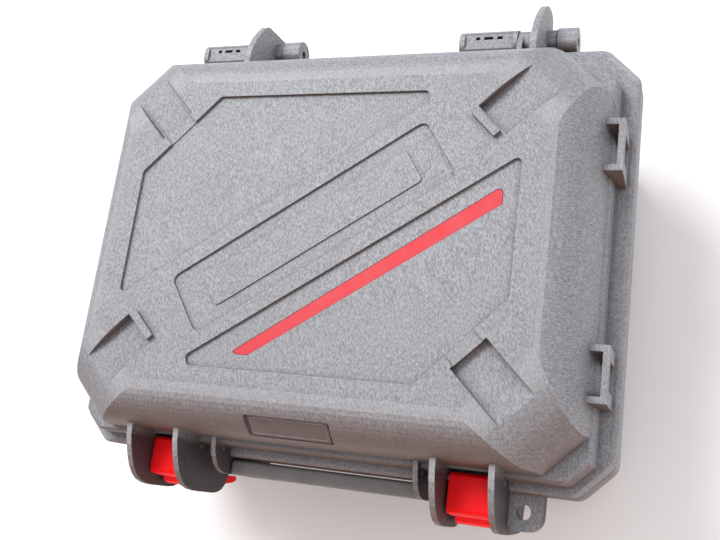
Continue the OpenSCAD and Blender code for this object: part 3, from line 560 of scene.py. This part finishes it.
def key_mark(key):
    """The sign on one key."""
    size = 2.2 * MM
    line = 0.7 * MM
    marks = Marks("mark_" + key, top_middle(key), height=0.12 * MM)
    arrows = {"key_right": 0, "key_up": 90, "key_left": 180, "key_down": 270}
    if key in arrows:
        arrow(marks, size, arrows[key])
    elif key == "key_ok":
        tick(marks, size, line)
    elif key == "key_save":
        tray(marks, size, line)
    else:
        lamp_sign(marks, size, line)
    marks.done(screen_ink, key)


def dial_marks():
    """Ticks round the selector, over its whole turn, long and short by turns."""
    turn_each_way = 150
    step = 30
    ring_height = 1.5 * MM
    gap = 0.4 * MM
    long_reach = 2.4 * MM
    short_reach = 1.9 * MM
    low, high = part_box("selector_knob")
    centre = top_middle("selector_knob")
    # the marks stand on the low ring round the knob
    overlay_low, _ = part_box("panel_overlay")
    centre.z = overlay_low[2] + ring_height
    radius = (high[0] - low[0]) / 2
    marks = Marks("dial_marks", centre)
    for i in range(2 * turn_each_way // step + 1):
        reach = short_reach if i % 2 else long_reach
        angle = 90 - turn_each_way + step * i
        marks.ray((0, 0), radius + gap, radius + reach, angle, width=0.8 * MM)
    marks.done(mark_white, "panel_overlay")


def arc_scale(marks, hub, radius):
    """An arc with ticks, every fifth one longer, and a needle."""
    start = 25
    end = 155
    step = 5
    needle = 118
    marks.arc(hub, radius, start, end, width=0.5 * MM, steps=40)
    for i in range((end - start) // step + 1):
        length = 1.8 * MM if i % 5 else 3.4 * MM
        marks.ray(hub, radius, radius + length, start + step * i, width=0.4 * MM)
    marks.ray(hub, 6 * MM, radius - 1.5 * MM, needle, width=0.7 * MM)


def battery_sign(marks, left, low):
    """A battery's outline with its cap and three full cells, in millimetres from its corner."""
    outline = ((0, 0, 8, 0), (0, 4, 8, 4), (0, 0, 0, 4), (8, 0, 8, 4))
    cap = (9, 1, 9, 3)
    for x0, y0, x1, y1 in (*outline, cap):
        start = (left + x0 * MM, low + y0 * MM)
        end = (left + x1 * MM, low + y1 * MM)
        marks.bar(start, end, width=0.5 * MM)
    for i in range(3):
        x = left + (1.4 + 2.2 * i) * MM
        marks.bar((x, low + 2 * MM), (x + 1.5 * MM, low + 2 * MM), width=2.4 * MM)


def screen_marks():
    """What the display shows: an arc scale with its needle, and a battery sign."""
    low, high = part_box("lcd_window")
    width = high[0] - low[0]
    depth = high[1] - low[1]
    marks = Marks("screen_marks", top_middle("lcd_module"), height=0.04 * MM)
    arc_scale(marks, (0, -0.42 * depth), 0.7 * depth)
    battery_sign(marks, -0.44 * width, 0.27 * depth)
    marks.done(screen_ink, "lcd_module")


label_border()
for key in sorted(n for n in nodes if n.startswith("key_") and n != "key_board"):
    key_mark(key)
dial_marks()
screen_marks()


# ---------------------------------------------------------------- stage, light, camera
# the camera's own axes, from the fit to the edges of the lid's flat top
VIEW_BACK = Vector((0.35717, -0.23855, 0.90307))
VIEW_RIGHT = Vector((0.93321, 0.13196, -0.33423))
# from the middle of the stripe's top to the camera
FROM_STRIPE = Vector((0.16457, -0.1098, 0.42262))
# what the lamps point at, in the middle of the case
AIM = (0, 0, 0.1)


def floor():
    """The pale ground that the case stands on."""
    bpy.ops.mesh.primitive_plane_add(size=6, location=(0, 0, 0))
    ground = bpy.context.object
    ground.name = "floor"
    ground.data.materials.append(floor_paper())


def grade(tree, value, low, high, a, b):
    """Colour a where value is under low, and b where it is over high. a may be a socket."""
    share = tree.nodes.new("ShaderNodeMapRange")
    share.interpolation_type = "SMOOTHSTEP"
    tree.links.new(value, share.inputs["Value"])
    share.inputs["From Min"].default_value = low
    share.inputs["From Max"].default_value = high
    blend = tree.nodes.new("ShaderNodeMix")
    blend.data_type = "RGBA"
    tree.links.new(share.outputs["Result"], blend.inputs["Factor"])
    if isinstance(a, tuple):
        blend.inputs[MIX_A].default_value = (*a, 1)
    else:
        tree.links.new(a, blend.inputs[MIX_A])
    blend.inputs[MIX_B].default_value = (*b, 1)
    return blend.outputs[MIX_RESULT]


def sky():
    """Bright overhead, mid-bright behind, dim and warm in front, as by a window at the back."""
    warm_dim = (0.30, 0.19, 0.14)
    cool_bright = (0.75, 0.76, 0.8)
    overhead = (1.0, 1.0, 1.04)
    world = bpy.data.worlds.new("studio")
    bpy.context.scene.world = world
    world.use_nodes = True
    tree = world.node_tree
    ray = tree.nodes.new("ShaderNodeTexCoord")
    parts = tree.nodes.new("ShaderNodeSeparateXYZ")
    tree.links.new(ray.outputs["Generated"], parts.inputs["Vector"])
    walls = grade(tree, parts.outputs["Y"], low=-0.7, high=0.4, a=warm_dim, b=cool_bright)
    dome = grade(tree, parts.outputs["Z"], low=0.45, high=0.95, a=walls, b=overhead)
    tree.links.new(dome, tree.nodes["Background"].inputs["Color"])


def area(name, place, size, power, colour=(1, 1, 1)):
    """A square lamp that shines at the case."""
    light = bpy.data.lights.new(name, "AREA")
    light.size = size
    light.energy = power
    light.color = colour
    lamp = bpy.data.objects.new(name, light)
    bpy.context.collection.objects.link(lamp)
    lamp.location = place
    lamp.rotation_euler = (Vector(AIM) - Vector(place)).to_track_quat("-Z", "Y").to_euler()


def camera():
    """The photograph's view: from above, the front and the right. The stripe fixes its place."""
    data = bpy.data.cameras.new("camera")
    data.sensor_width = 36
    data.lens = 46.21
    data.clip_start = 10 * MM
    cam = bpy.data.objects.new("camera", data)
    bpy.context.collection.objects.link(cam)
    turn = Matrix((VIEW_RIGHT, VIEW_BACK.cross(VIEW_RIGHT), VIEW_BACK)).transposed().to_4x4()
    cam.matrix_world = Matrix.Translation(top_middle("stripe_inlay") + FROM_STRIPE) @ turn
    bpy.context.scene.camera = cam


floor()
sky()
area("key", place=(-0.9, 1.0, 2.1), size=0.9, power=46)
area("side", place=(1.6, 0.3, 1.1), size=1.0, power=3.5)
area("front", place=(0.5, -1.5, 0.6), size=0.8, power=6, colour=(1.0, 0.7, 0.56))
camera()
bpy.context.scene.view_settings.view_transform = "Standard"
